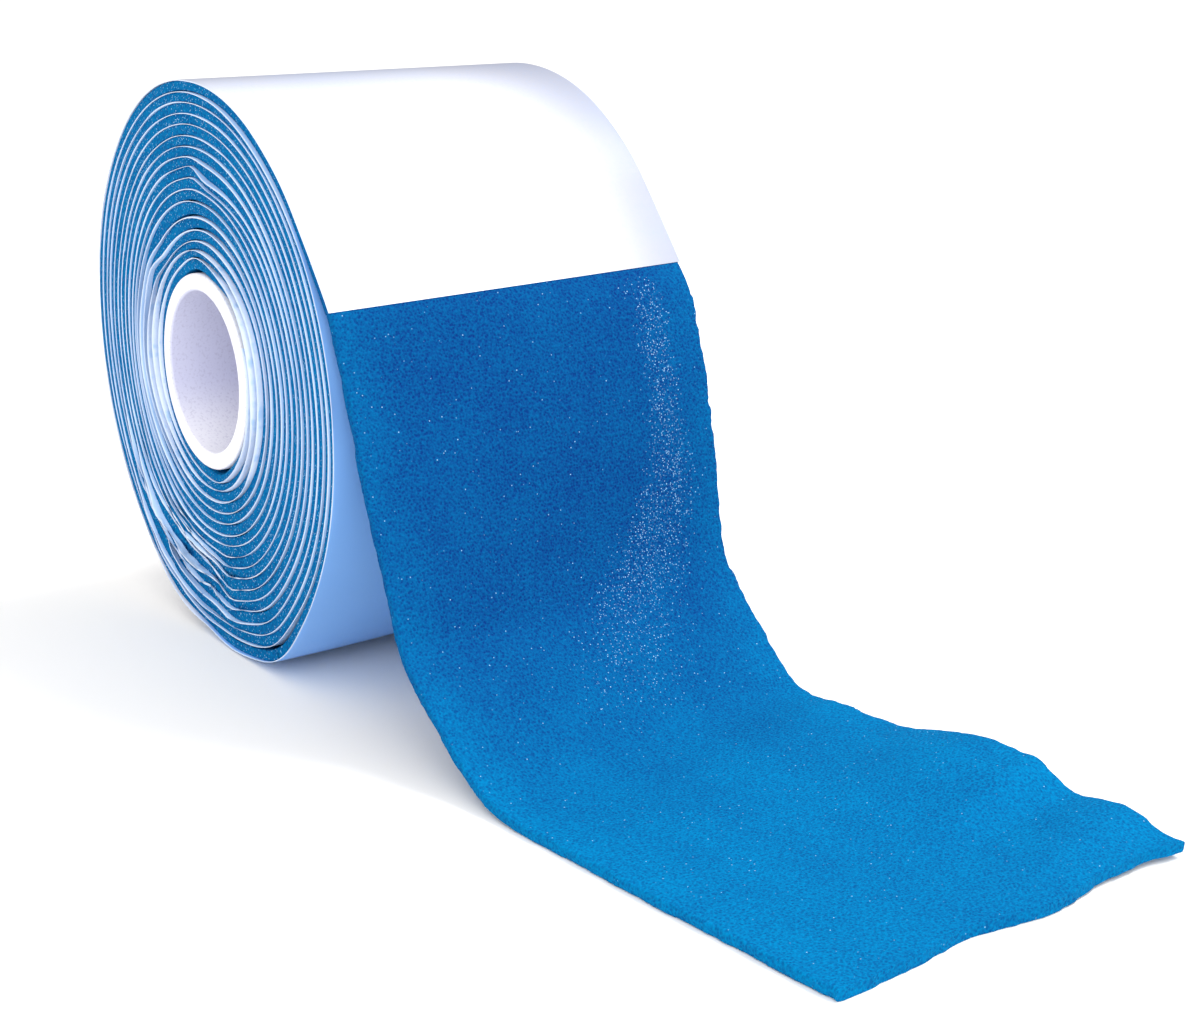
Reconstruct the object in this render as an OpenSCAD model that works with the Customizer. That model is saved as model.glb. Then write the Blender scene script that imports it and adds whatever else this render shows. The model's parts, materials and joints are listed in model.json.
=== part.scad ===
// Roll of cohesive foam hand wrap on a tube core, with a release liner wound in between the turns.
// The core's axis is the Y axis, with the origin at the middle of its bore. +Z is up, and the free
// end of the strip hangs in front of the roll and runs out along +X on the surface that carries it.
// The foam is one long strip and the liner another. Each is drawn as several solids that meet face to
// face where one stretch of it moves against the next.

/* [Strip] */
// Width of the foam
strip_w = 60; // [40:1:100]
// Thickness of the foam
foam_t = 1.5; // [1:0.05:3]
// Thickness of the release liner
liner_t = 0.1; // [0.05:0.01:0.3]
// How far the liner stands out past each edge of the foam
liner_over = 0.4; // [0:0.05:1]

/* [Core] */
// Diameter of the hole through the core
bore_d = 25.4; // [12:0.1:77]
// Thickness of the core's wall
core_wall = 2.7; // [1:0.1:6]
// How far the core stands out past each edge of the foam
core_over = 0.5; // [0:0.1:2]

/* [Winding] */
// Whole turns from the strip's inner end to the line where it leaves the roll
turns = 17; // [5:1:30]
// Angle of that line above the level of the core
leave_a = 22.5; // [10:0.5:45]
// Clearance that lets the roll turn inside its outer turn
turn_slack = 0.6; // [0.4:0.05:1.5]
// Arc of liner, back from its cut end, that peels off the foam
peel_arc = 38.6; // [20:0.1:70]

/* [Free end] */
// Radius of the bend between the hanging strip and the stretch that lies flat
bend_r = 30; // [10:1:40]
// Length that lies flat
flat_len = 57; // [20:1:200]
// Angle between the flat stretch and the X axis
flat_yaw = 5; // [0:0.5:15]

/* [Hidden] */

// clearances: between foam and liner, and between the core and the first turn
lay_gap = 0.02;
core_gap = 0.05;

// The roll turns up to this far each way inside the outer turn. The link is the stretch that joins
// the two, so it starts this far short of a whole turn and is longer than the travel.
turn_travel = 20;
link_start = turn_travel + 6;
link_arc = 58;

// facets in one turn, which the foam and the liner share so that their faces lie flat on each other
turn_steps = 56;
// share of the first turn in which the strip climbs over its own inner end, and the turns over
// which that step evens out into a plain spiral
climb_share = 0.15;
even_turns = 6;
bend_steps = 12;

foam_blue = [0.02, 0.38, 0.72];
liner_white = [0.93, 0.93, 0.97];
core_white = [0.96, 0.95, 0.97];

core_r = bore_d / 2 + core_wall;
core_len = strip_w + 2 * core_over;
pitch = foam_t + liner_t + 2 * lay_gap;
first_r = core_r + core_gap;

// places along the strip, counted in facets from its inner end
function facets(a) = round(a * turn_steps / 360);
strip_end = turns * turn_steps;
link_outer = strip_end - turn_steps + facets(link_start + link_arc);
link_inner = strip_end - turn_steps + facets(link_start);
flap_start = strip_end - facets(peel_arc);

function clamp(t) = min(1, max(0, t));
function ease(t) = clamp(t) * clamp(t) * (3 - 2 * clamp(t));

// turns of strip that lie under the strip n turns from its inner end
function climb(t) = ease((t - 1 + climb_share) / climb_share);
function layers(n) =
    let (k = floor(n), t = n - k, even = clamp(k / even_turns))
    k + (1 - even) * climb(t) + even * t;

// radius of the foam's inner face at facet i; the outer turn stands off by turn_slack
function foam_r(i) =
    first_r + pitch * layers(i / turn_steps)
    + turn_slack * ease((i - link_inner) / (link_outer - link_inner));
function polar(i, r) =
    let (a = leave_a + 360 * (strip_end - i) / turn_steps)
    [r * cos(a), r * sin(a)];

// Draws a shape of the XZ plane over a width w along Y, centred on the roll
module across(w) {
    rotate([90, 0, 0]) linear_extrude(w, center = true) children();
}

// A stretch of strip from facet a to facet b, w wide, standing off the foam's inner face by off
module wound(a, b, w, off, t) {
    outer = [for (i = [a:b]) polar(i, foam_r(i) + off + t)];
    inner = [for (i = [b:-1:a]) polar(i, foam_r(i) + off)];
    across(w) polygon(concat(outer, inner));
}

module foam_arc(a, b) {
    color(foam_blue) wound(a, b, strip_w, 0, foam_t);
}

module liner_arc(a, b) {
    color(liner_white) wound(a, b, strip_w + 2 * liner_over, foam_t + lay_gap, liner_t);
}

// The hanging strip: straight off the roll at a tangent, then round the bend onto the surface.
leave_r = foam_r(strip_end) + foam_t;
leave_p = polar(strip_end, leave_r);
drop_a = 90 - leave_a;
// the surface that carries the part touches the liner at its lowest facet
floor_z = min([for (i = [strip_end - turn_steps:strip_end])
    polar(i, foam_r(i) + foam_t + lay_gap + liner_t)[1]]);
hang_len = (leave_p[1] - floor_z - foam_t - bend_r * (1 - cos(drop_a))) / sin(drop_a);
bend_p = leave_p + hang_len * [cos(drop_a), -sin(drop_a)];
bend_c = bend_p + bend_r * [sin(drop_a), cos(drop_a)];
flat_x = bend_c[0];

function bend_at(r) = [for (k = [0:bend_steps])
    let (a = drop_a * (1 - k / bend_steps))
    bend_c - r * [sin(a), cos(a)]];

module core() {
    color(core_white) rotate([90, 0, 0]) difference() {
        cylinder(h = core_len, r = core_r, center = true, $fn = 96);
        cylinder(h = core_len + 2, d = bore_d, center = true, $fn = 96);
    }
}

module foam_winding() {
    foam_arc(0, link_inner);
}

module foam_link() {
    foam_arc(link_inner, link_outer);
}

module foam_outer_turn() {
    foam_arc(link_outer, strip_end);
}

module foam_tail() {
    under_p = polar(strip_end, leave_r - foam_t);
    top = concat([leave_p], bend_at(bend_r));
    under = concat([under_p], bend_at(bend_r + foam_t));
    color(foam_blue) across(strip_w) polygon(concat(top, [for (k = [len(under) - 1:-1:0]) under[k]]));
}

module foam_free_end() {
    along = [cos(flat_yaw), sin(flat_yaw)];
    near = [flat_x, -strip_w / 2];
    far = [flat_x, strip_w / 2];
    // the end is cut square to the stretch that lies flat
    square = strip_w * sin(flat_yaw);
    color(foam_blue) translate([0, 0, floor_z]) linear_extrude(foam_t)
        polygon([near, near + (flat_len + square / 2) * along,
            far + (flat_len - square / 2) * along, far]);
}

module liner_winding() {
    liner_arc(0, link_inner);
}

module liner_link() {
    liner_arc(link_inner, link_outer);
}

module liner_outer_turn() {
    liner_arc(link_outer, flap_start);
}

module liner_flap() {
    liner_arc(flap_start, strip_end);
}

core();
foam_winding();
foam_link();
foam_outer_turn();
foam_tail();
foam_free_end();
liner_winding();
liner_link();
liner_outer_turn();
liner_flap();
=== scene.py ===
"""Looks of a hand wrap roll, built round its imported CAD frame.

One long strip of foam is wound on a tube core, with a film liner on its outer face. Its last stretch
hangs off the roll and lies flat. Shapes are worked out in millimetres in the XZ plane, with the roll's
axis along Y, and turned into metres when a mesh is made.
"""

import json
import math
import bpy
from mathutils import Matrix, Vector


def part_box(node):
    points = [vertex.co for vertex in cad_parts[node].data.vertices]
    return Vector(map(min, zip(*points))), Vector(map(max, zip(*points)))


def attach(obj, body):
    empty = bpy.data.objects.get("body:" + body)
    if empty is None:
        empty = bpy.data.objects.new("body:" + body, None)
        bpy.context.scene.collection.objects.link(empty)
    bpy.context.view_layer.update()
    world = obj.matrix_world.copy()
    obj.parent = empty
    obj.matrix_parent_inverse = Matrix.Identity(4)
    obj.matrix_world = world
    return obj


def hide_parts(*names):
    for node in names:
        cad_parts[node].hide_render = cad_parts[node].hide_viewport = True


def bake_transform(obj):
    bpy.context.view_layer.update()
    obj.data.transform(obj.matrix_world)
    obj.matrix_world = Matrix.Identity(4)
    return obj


bl_info = {
    "name": "Hand wrap roll",
    "version": (1, 0, 0),
    "blender": (4, 5, 0),
    "location": "3D View > Sidebar > Hand wrap",
    "description": "Builds a roll of foam hand wrap with its release liner, tube core and stage",
    "category": "Add Mesh",
}

import bpy
import numpy as np
from bpy.props import FloatProperty, FloatVectorProperty, IntProperty, PointerProperty
from mathutils import Vector

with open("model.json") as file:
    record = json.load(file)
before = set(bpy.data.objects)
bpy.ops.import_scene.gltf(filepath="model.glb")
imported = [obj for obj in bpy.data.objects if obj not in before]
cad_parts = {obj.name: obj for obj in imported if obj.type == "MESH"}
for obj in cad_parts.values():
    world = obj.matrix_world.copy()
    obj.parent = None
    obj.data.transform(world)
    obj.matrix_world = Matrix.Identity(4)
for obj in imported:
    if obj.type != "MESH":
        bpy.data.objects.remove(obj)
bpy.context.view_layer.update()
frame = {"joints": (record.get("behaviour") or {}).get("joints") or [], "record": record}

MM = 0.001
JOINTS = {joint["name"]: joint for joint in frame["joints"]}
MOUNTS = {mount["name"]: mount for mount in frame["record"]["mounts"]}


def mm(metres):
    return metres / MM


# Places that the frame gives, in millimetres
HALF_WIDTH = mm(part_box("foam_winding")[1].y)
LINER_HALF_WIDTH = mm(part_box("liner_winding")[1].y)
CORE_HALF_LENGTH = mm(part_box("core")[1].y)
CORE_RADIUS = mm(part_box("core")[1].x)
BORE_RADIUS = MOUNTS["core_bore"]["dims"]["r_mm"]
FLOOR = mm(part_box("foam_free_end")[0].z)
PEEL_X, _, PEEL_Z = (mm(x) for x in JOINTS["liner_peel"]["pos_m"])


# ---------------------------------------------------------------- sizes and colours a user may change


class WrapSizes(bpy.types.PropertyGroup):
    foam_thickness: FloatProperty(
        name="Foam thickness", description="Thickness of the foam strip", default=0.0015, unit="LENGTH")
    liner_thickness: FloatProperty(
        name="Liner thickness", description="Thickness of the release film", default=0.0001, unit="LENGTH")
    layer_gap: FloatProperty(
        name="Layer gap", description="Air between foam and film", default=0.00002, unit="LENGTH")
    core_gap: FloatProperty(
        name="Core gap", description="Air between the core and the first turn",
        default=0.00005, unit="LENGTH")
    turns: IntProperty(
        name="Turns", description="Whole turns up to the line where the strip leaves the roll", default=17)
    leave_angle: FloatProperty(
        name="Leaving angle", description="Angle of that line above the level of the core",
        default=math.radians(22.5), subtype="ANGLE", unit="ROTATION")
    climb_share: FloatProperty(
        name="Climb", description="Share of the first turn in which the strip climbs over its own end",
        default=0.15, subtype="FACTOR")
    even_turns: IntProperty(
        name="Even turns", description="Turns over which that climb evens out", default=6)
    turn_slack: FloatProperty(
        name="Slack", description="How far the outer turn stands off the turn under it",
        default=0.0006, unit="LENGTH")
    link_start: FloatProperty(
        name="Link start", description="Angle from the leaving line back round to the end of the winding",
        default=math.radians(26), subtype="ANGLE", unit="ROTATION")
    link_arc: FloatProperty(
        name="Link arc", description="Angle over which the strip changes from the winding to the outer turn",
        default=math.radians(58), subtype="ANGLE", unit="ROTATION")


class WrapShape(bpy.types.PropertyGroup):
    edge_rounding: FloatProperty(
        name="Foam edge rounding", description="Radius of the free strip's cut edges",
        default=0.0004, unit="LENGTH")
    liner_wander: FloatProperty(
        name="Liner wander", description="How unevenly the film stands out past the foam",
        default=0.00010, unit="LENGTH")
    lift_off: FloatProperty(
        name="Lift off", description="How far the outer turn springs off the roll before the film's cut end",
        default=0.0019, unit="LENGTH")
    lift_arc: FloatProperty(
        name="Lift arc", description="Angle over which it springs off",
        default=math.radians(17.5), subtype="ANGLE", unit="ROTATION")
    cut_skew: FloatProperty(
        name="Cut skew", description="How much further round the film's cut end lies at the near edge",
        default=math.radians(2.0), subtype="ANGLE", unit="ROTATION")
    free_length: FloatProperty(
        name="Free length", description="Length of strip beyond the leaving line",
        default=0.1384, unit="LENGTH")
    rag: FloatProperty(
        name="Edge rag", description="Unevenness of the free strip's long edges",
        default=0.00034, unit="LENGTH")
    yaw: FloatProperty(
        name="Yaw", description="Angle of the lying end away from the X axis",
        default=math.radians(5.6), subtype="ANGLE", unit="ROTATION")


class WrapColours(bpy.types.PropertyGroup):
    # Deep and lit blue make the foam's cell grain, and also its painted light: the hanging stretch keeps to
    # the deep blue, while the lying stretch and the long edges are brightened towards the lit one.
    foam_deep: FloatVectorProperty(
        name="Deep blue", description="Foam seen down into its cells", default=(0.0025, 0.022, 0.165),
        size=3, subtype="COLOR", min=0, max=1)
    foam_lit: FloatVectorProperty(
        name="Lit blue", description="Foam on its cell walls", default=(0.0, 0.203, 0.462),
        size=3, subtype="COLOR", min=0, max=1)
    # Painted glints: this colour stands in for highlights on a few of the foam's cells.
    foam_painted_glint: FloatVectorProperty(
        name="Glint", description="Cell walls that catch the light", default=(0.42, 0.70, 0.95),
        size=3, subtype="COLOR", min=0, max=1)
    film: FloatVectorProperty(
        name="Film", description="Release film", default=(0.80, 0.82, 0.90),
        size=3, subtype="COLOR", min=0, max=1)
    # Wound, back and far film are painted shade: darker, bluer copies of the film inside the roll, round its
    # back and over its crest.
    film_wound_shade: FloatVectorProperty(
        name="Wound film", description="Release film inside the roll",
        default=(0.42, 0.60, 0.85), size=3, subtype="COLOR", min=0, max=1)
    film_edge: FloatVectorProperty(
        name="Film edge", description="Cut edge of the film, and its folds next to the core",
        default=(0.66, 0.75, 0.92), size=3, subtype="COLOR", min=0, max=1)
    film_back_shade: FloatVectorProperty(
        name="Back film", description="Release film round the back of the roll",
        default=(0.66, 0.68, 0.76), size=3, subtype="COLOR", min=0, max=1)
    film_far_shade: FloatVectorProperty(
        name="Far film", description="Release film over the crest of the roll, where it lies less bright",
        default=(0.29, 0.30, 0.375), size=3, subtype="COLOR", min=0, max=1)
    # Tinted film is painted blue light bounced from the hanging foam onto the film under it; it also tints
    # the film's mottle.
    film_bounce_light_and_mottle: FloatVectorProperty(
        name="Tinted film", description="Release film where the foam under it shows through",
        default=(0.21, 0.45, 0.90), size=3, subtype="COLOR", min=0, max=1)
    plastic: FloatVectorProperty(
        name="Core", description="Moulded tube", default=(0.90, 0.89, 0.93),
        size=3, subtype="COLOR", min=0, max=1)
    # Painted shade down the bore, fading towards its bottom.
    plastic_bore_shade: FloatVectorProperty(
        name="Bore", description="Wall of the bore, where the mould left it duller",
        default=(0.62, 0.63, 0.80), size=3, subtype="COLOR", min=0, max=1)
    plastic_speck: FloatVectorProperty(
        name="Core specks", description="Fine specks in the moulded tube", default=(0.34, 0.32, 0.46),
        size=3, subtype="COLOR", min=0, max=1)


class WrapStage(bpy.types.PropertyGroup):
    camera_place: FloatVectorProperty(
        name="Camera", description="Place of the camera", default=(0.3072, -0.1634, 0.0723),
        size=3, subtype="TRANSLATION", unit="LENGTH")
    azimuth: FloatProperty(
        name="Azimuth", description="Turn of the view from looking along +Y",
        default=math.radians(55.96), subtype="ANGLE", unit="ROTATION")
    elevation: FloatProperty(
        name="Elevation", description="Tilt of the view above the horizon",
        default=math.radians(16.1), subtype="ANGLE", unit="ROTATION")
    lens: FloatProperty(
        name="Focal length", description="Focal length on a 36 mm sensor", default=64.72)
    floor_colour: FloatVectorProperty(
        name="Floor", description="Plain pale floor", default=(0.97, 0.955, 0.93),
        size=3, subtype="COLOR", min=0, max=1)


# ---------------------------------------------------------------- smooth steps and waves


def ease(x):
    x = np.clip(x, 0, 1)
    return x * x * (3 - 2 * x)


def hump(x):
    return np.exp(-x * x)


def scatter(i, seed):
    """A fixed number from -1 to 1 for each whole number i."""
    return np.modf(np.sin(i * 12.9898 + seed * 78.233) * 43758.5453)[0]


def wander(x, seed=0.0):
    """A smooth uneven wave of x, from -1 to 1, that changes about once in each unit."""
    k = np.floor(x)
    t = ease(x - k)
    return scatter(k, seed) * (1 - t) + scatter(k + 1, seed) * t


def wander_2d(x, y, seed=0.0):
    k = np.floor(y)
    t = ease(y - k)
    return wander(x, seed + 0.37 * k) * (1 - t) + wander(x, seed + 0.37 * (k + 1)) * t


# ---------------------------------------------------------------- the wound strip

# The roll isn't quite round: mean change of radius, then the size and turn of its lean and of its oval
ROUND_SHIFT = -0.85
LEAN, LEAN_TURN = 0.6, 0.31
OVAL, OVAL_TURN = 1.1, 0.995
# It stands on a heel, with a hollow beside it: angle, half angle and height or depth. The winding has
# a lower heel and a wider hollow than the outer turn, which leave it room to turn. Both are less at the
# far end face.
HEEL_ANGLE, HEEL_HALF, HEEL_HEIGHT = 299, 12, 1.9
HEEL_WOUND_SHARE, HEEL_FAR_SHARE = 0.8, 0.25
HOLLOW_ANGLE, HOLLOW_HALF_WOUND, HOLLOW_HALF_OUTER, HOLLOW_DEPTH = 263, 19, 10, 1.1
# Places on the near end face where the layers step inwards: angle where the step starts, angle it
# takes, angle before it has gone again, radius and spread of the layers, and the drop
STEPS = [
    (93, 13, 42, 31.2, 2.0, 1.1),
    (146, 19, 60, 22.6, 2.4, 1.5),
    (-80, 12, 50, 35.0, 5.0, 1.7),
]
# Height of the bump where a step starts
STEP_RISE = 0.35
# Places where the first turns stand off the core: angle, half angle, radius and spread, and the gap
STAND_OFFS = [
    (96, 14, 16.5, 2.0, 0.7),
    (-78, 16, 15.6, 2.2, 0.8),
    (8, 9, 16.0, 1.6, 0.5),
]
# The patch of the near end face where the layers are crumpled, as angle, half angle, radius and spread
CRUMPLE = (-112, 30, 35.5, 6.0)
CRUMPLE_HEIGHT = 1.25
# Height of the small waves that every layer has
UNEVEN_HEIGHT = 0.10
# How far in from the near end face the steps and folds, the gaps at the core, the small waves and the
# near end's heel fade out
STEP_REACH, GAP_REACH, UNEVEN_REACH, HEEL_REACH = 9.0, 20, 25, 45
# Share of the outer turn's slack that is spread through the turns under it, which lie a little loose
SPREAD_SLACK = 0.85


def turn_to(angle, centre):
    """Angle from centre to angle, in degrees, from -180 to 180."""
    return (angle - centre + 180) % 360 - 180


def patch(angle, radius, at_angle, half_angle, at_radius, spread):
    """1 at a place on the end face and fading to 0 round it."""
    return hump(turn_to(angle, at_angle) / half_angle) * hump((radius - at_radius) / spread)


def out_of_true(angle, radius, depth, outer):
    """How far a layer stands off its true spiral. Depth is the distance from the near end face, and
    outer goes from 0 on the winding to 1 on the outer turn."""
    share = np.clip((radius - 16) / 29, 0, 1.15)  # 0 at the core and 1 at the outer turn
    radians = np.radians(angle)
    oval = ROUND_SHIFT + LEAN * np.cos(radians + LEAN_TURN) + OVAL * np.cos(2 * (radians + OVAL_TURN))
    off = oval * share**1.2
    near = ease(1 - depth / HEEL_REACH)
    heel = HEEL_HEIGHT * hump(turn_to(angle, HEEL_ANGLE) / HEEL_HALF)
    heel = heel * (HEEL_WOUND_SHARE + (1 - HEEL_WOUND_SHARE) * outer)
    heel = heel * (HEEL_FAR_SHARE + (1 - HEEL_FAR_SHARE) * near)
    hollow_half = HOLLOW_HALF_WOUND + (HOLLOW_HALF_OUTER - HOLLOW_HALF_WOUND) * outer
    hollow = HOLLOW_DEPTH * hump(turn_to(angle, HOLLOW_ANGLE) / hollow_half)
    off = off + share**3 * (heel - hollow * near)
    face = ease(1 - depth / STEP_REACH)
    for start, run, gone, at, spread, drop in STEPS:
        past = -turn_to(angle, start)
        layer = hump((radius - at) / spread)
        stepped = ease(past / run) * (1 - ease((past - run) / gone))
        off = off + (STEP_RISE * hump(past / (0.4 * run)) - drop * stepped) * layer * face
    for *place, gap in STAND_OFFS:
        off = off + gap * patch(angle, radius, *place) * ease(1 - depth / GAP_REACH)
    along = radians * radius
    folds = CRUMPLE_HEIGHT * wander_2d(along / 4.2, radius / 2.9, 3.1)
    off = off + folds * patch(angle, radius, *CRUMPLE) * face
    waves = UNEVEN_HEIGHT * wander_2d(along / 11, radius / 1.64, 7.7)
    return off + waves * ease(1 - depth / UNEVEN_REACH)


class Spiral:
    """The strip's path round the core. n counts turns from its inner end."""

    def __init__(self, sizes, shape):
        self.turns = sizes.turns
        self.leave = math.degrees(sizes.leave_angle)
        self.foam = mm(sizes.foam_thickness)
        self.liner = mm(sizes.liner_thickness)
        self.gap = mm(sizes.layer_gap)
        self.slack = mm(sizes.turn_slack)
        self.climb = sizes.climb_share
        self.even = sizes.even_turns
        self.first = CORE_RADIUS + mm(sizes.core_gap)
        self.pitch = self.foam + self.liner + 2 * self.gap
        self.link_in = self.turns - 1 + math.degrees(sizes.link_start) / 360
        self.link_out = self.link_in + math.degrees(sizes.link_arc) / 360
        self.lift = mm(shape.lift_off)
        self.lift_turn = math.degrees(shape.lift_arc) / 360
        self.skew = shape.cut_skew
        self.liner_wander = mm(shape.liner_wander)

    def layers(self, n):
        k = np.floor(n)
        part = n - k
        even = np.clip(k / self.even, 0, 1)
        return k + (1 - even) * ease((part - 1 + self.climb) / self.climb) + even * part

    def angle(self, n):
        return self.leave + 360 * (self.turns - n)

    def turn_at(self, x, z):
        """Turns from the inner end to the point of the outer turn that lies towards x, z."""
        back = (math.degrees(math.atan2(z, x)) - self.leave) % 360
        return self.turns - back / 360

    def outer(self, n):
        """0 on the winding, 1 on the outer turn and between them on the link."""
        return ease((n - self.link_in) / (self.link_out - self.link_in))

    def true_radius(self, n):
        spread = SPREAD_SLACK * np.clip(n / self.link_in, 0, 1)
        slack = spread + (1 - SPREAD_SLACK) * self.outer(n)
        return self.first + self.pitch * self.layers(n) + self.slack * slack

    def place(self, n, v, t):
        """Point of the strip n turns in, v across it and t above the foam's inner face."""
        angle = self.angle(n)
        radius = self.true_radius(n) + t
        depth = v + HALF_WIDTH
        off = out_of_true(angle, radius, depth, self.outer(n))
        spring = np.clip((n - self.turns + self.lift_turn) / self.lift_turn, 0, 1)
        off = off + self.lift * spring**2
        near = 0.5 - v / (2 * HALF_WIDTH)
        radians = np.radians(angle) - self.skew * near * spring
        radius = radius + off
        return np.stack([radius * np.cos(radians), v + 0 * radius, radius * np.sin(radians)], -1)

    def along(self, n):
        """Length of strip from its inner end to n, in mm, close enough for grain to match at the seams."""
        middle = self.first + self.pitch * n / 2
        return 2 * math.pi * middle * n

    def stations(self, start, end, spacing):
        """Values of n from start to end, about spacing apart along the strip."""
        lengths = self.along(np.array([start, end]))
        count = max(2, int(round((lengths[1] - lengths[0]) / spacing)) + 1)
        wanted = np.linspace(lengths[0], lengths[1], count)
        fine = np.linspace(start, end, 20000)
        n = np.interp(wanted, self.along(fine), fine)
        n[0], n[-1] = start, end
        return n


# ---------------------------------------------------------------- sections across the strip

# Radius of the foam's cut edges inside the roll, and the places across it where its rings have points
WOUND_ROUNDING = 0.16
WOUND_PLACES = [-29, -27.5, -25.5, -23, -19, -12, 0, 14, 24, 28]
# Distances in from the foam's edge where the film's rings have points, besides those on its overhang
LINER_PLACES = [0.05, 1.0, 3.0, 5.5, 10, 18, 30]
# Where the film is folded out next to the core, as angle, half angle, radius and spread
FOLDED_OUT = [(0, 62, 16.8, 3.0), (180, 42, 20.0, 5.0)]
# Where it is a little pushed in, as angle and half angle
PUSHED_IN, PUSHED_IN_HALF = 185, 55
# Loose loops of its edge: turns from the inner end and share of a turn, and one place on the end face
LOOSE_LOOPS = [(15.89, 0.075), (15.22, 0.03)]
LOOSE_PLACE = (80, 9, 30.5, 1.8)
# The least that the film's edge may stand out, against its even overhang
LEAST_EXTRA = -0.32


def closed(lower, thick):
    """Closes a lower half section with its mirror image."""
    upper = lower[::-1].copy()
    upper[:, 1] = thick - upper[:, 1]
    return np.concatenate([lower, upper])


def foam_section(places, thick, rounding):
    """The foam's section with rounded edges, as (v, t) pairs along its lower face and back along its upper
    one. v goes across the strip and t through its thickness."""
    bend = np.radians([90, 60, 30, 0])
    near = [(-HALF_WIDTH + rounding * (1 - math.sin(a)), rounding * (1 - math.cos(a))) for a in bend]
    far = [(-v, t) for v, t in reversed(near)]
    inner = [(v, 0.0) for v in places if abs(v) < HALF_WIDTH - rounding - 0.05]
    return closed(np.array(near + inner + far), thick)


def edge_wander(along):
    return 0.07 * wander(along / 23, 1.3) + 0.04 * wander(along / 3.1, 5.9)


def wound_foam(spiral, n):
    """Rings of the foam's section at each n, and the same points laid out flat."""
    section = foam_section(WOUND_PLACES, spiral.foam, WOUND_ROUNDING)
    n = n[:, None]
    v, t = section[None, :, 0], section[None, :, 1]
    along = spiral.along(n)
    edge = ease((np.abs(v) - 24) / 6) * np.sign(v)
    v = v + edge * edge_wander(along)
    rings = spiral.place(n, v, np.broadcast_to(t, v.shape))
    flat = np.stack(np.broadcast_arrays(along, v, t), -1)
    return rings, flat


def wound_liner(spiral, n):
    """Rings of the film's section at each n, and the same points laid out flat."""
    over = LINER_HALF_WIDTH - HALF_WIDTH
    steps = np.array([-over, -0.5 * over, *LINER_PLACES])
    lower_v = np.concatenate([-HALF_WIDTH + steps, HALF_WIDTH - steps[-2::-1]])
    section = closed(np.stack([lower_v, 0 * lower_v], -1), spiral.liner)
    n = n[:, None]
    v, t = section[None, :, 0], section[None, :, 1]
    along = spiral.along(n)
    angle = spiral.angle(n)
    radius = spiral.true_radius(n)
    crumpled = patch(angle, radius, *CRUMPLE)
    near_core = sum(patch(angle, radius, *place) for place in FOLDED_OUT)
    loose = sum(hump((n - at) / part) for at, part in LOOSE_LOOPS) + 1.2 * patch(angle, radius, *LOOSE_PLACE)
    extra = spiral.liner_wander * (wander(along / 17, 2.2) - 1.3) + 0.95 * near_core + 0.5 * loose
    extra = extra - 0.16 * hump(turn_to(angle, PUSHED_IN) / PUSHED_IN_HALF) * ease((radius - 24) / 6)
    extra = extra + 1.3 * crumpled * (0.35 + 0.65 * wander(along / 4.2, 4.4))
    extra = np.maximum(extra, LEAST_EXTRA)
    out = np.clip((np.abs(v) - HALF_WIDTH + 1) / (1 + over), 0, 1)
    v_out = v + np.sign(v) * extra * out
    proud = np.clip((np.abs(v) - HALF_WIDTH) / over, 0, 1)
    lean = 0.5 * wander(along / 6.5, 8.8) * (0.25 + 1.4 * crumpled + 0.7 * near_core)
    rings = spiral.place(n, v_out, spiral.foam + spiral.gap + t + lean * proud)
    flat = np.stack(np.broadcast_arrays(along, v, t), -1)
    return rings, flat


# ---------------------------------------------------------------- the free strip

# Slopes of the strip's two edges below the horizontal: degrees at the leaving line, then for each
# change where it starts, how far it takes and the change, all along the strip from that line
NEAR_SLOPE = 51.5, [(-1.3, 4.5, 17.5), (25.7, 22, -4.5), (46.2, 5, -28), (62.7, 20, -36.5)]
FAR_SLOPE = 44, [(0, 9, 25), (8, 18, 12), (36.6, 20, -41.5), (59, 22, -39.5)]
# Where the strip comes down onto the surface and over what length, and the same for its turn to the yaw
# of the lying end
LAY_START, LAY_LENGTH = 4, 66
YAW_START, YAW_LENGTH = 62, 26
# Bumps of the hand-cut end: place across the strip, spread and height. Its far corner stands out by the
# lean, its near one as far in, and all of it is shifted.
CUT_BUMPS = [(-9, 6, -1.3), (6, 6, 1.0), (-29, 4, 0.5), (30, 5, 0.6), (22, 5, -0.3)]
CUT_LEAN, CUT_SHIFT = 3.4, -0.3
# How much the bulge of the far edge stands out, where, and over what length
BULGE, BULGE_AT, BULGE_LENGTH = 0.45, 42, 24
# Where the hanging piece ends and the lying one starts, the rows of points in each, and the places
# across the strip where each row has points
SEAM = 77.0
HANGING_ROWS, LYING_ROWS = 150, 120
FREE_PLACES = np.arange(-29, 29.1, 1.0)


def slope(s, profile):
    """Slope of an edge s mm from the leaving line, in degrees."""
    first, changes = profile
    return first + sum(change * ease((s - start) / length) for start, length, change in changes)


def far_waves(s, v):
    """Height of the far edge's waves: a low one that stays, a tall one, and a small one at the cut."""
    rise = ease((v + 6) / 36) ** 1.4
    low = 1.2 * ease((s - 70) / 12)
    tall = 3.2 * ease((s - 91) / 20) * (1 - ease((s - 117.5) / 8.0))
    last = 1.1 * hump((s - 132) / 5) - 0.5 * ease((s - 134) / 6)
    return rise * (low + tall + last)


def cut_wave(v):
    """How far the hand-cut end stands out past a square cut."""
    bumps = sum(height * hump((v - at) / spread) for at, spread, height in CUT_BUMPS)
    fibres = 0.16 * wander(v / 1.1, 6.1) + 0.1 * wander(v / 0.5, 2.7)
    return CUT_LEAN * v / HALF_WIDTH + CUT_SHIFT + bumps + fibres


def uneven_edge(s, v, t):
    """Waves, notches and torn cells along the strip's long edges. The far edge has more of them."""
    side = np.sign(v)
    waves = wander(s / 9, 3.3 + side) + 0.8 * wander(s / 1.7, 1.9 + side)
    return (0.75 + 0.25 * side) * (waves + 0.5 * wander(s / 0.7, 5.1 + side + np.round(t)))


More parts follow.
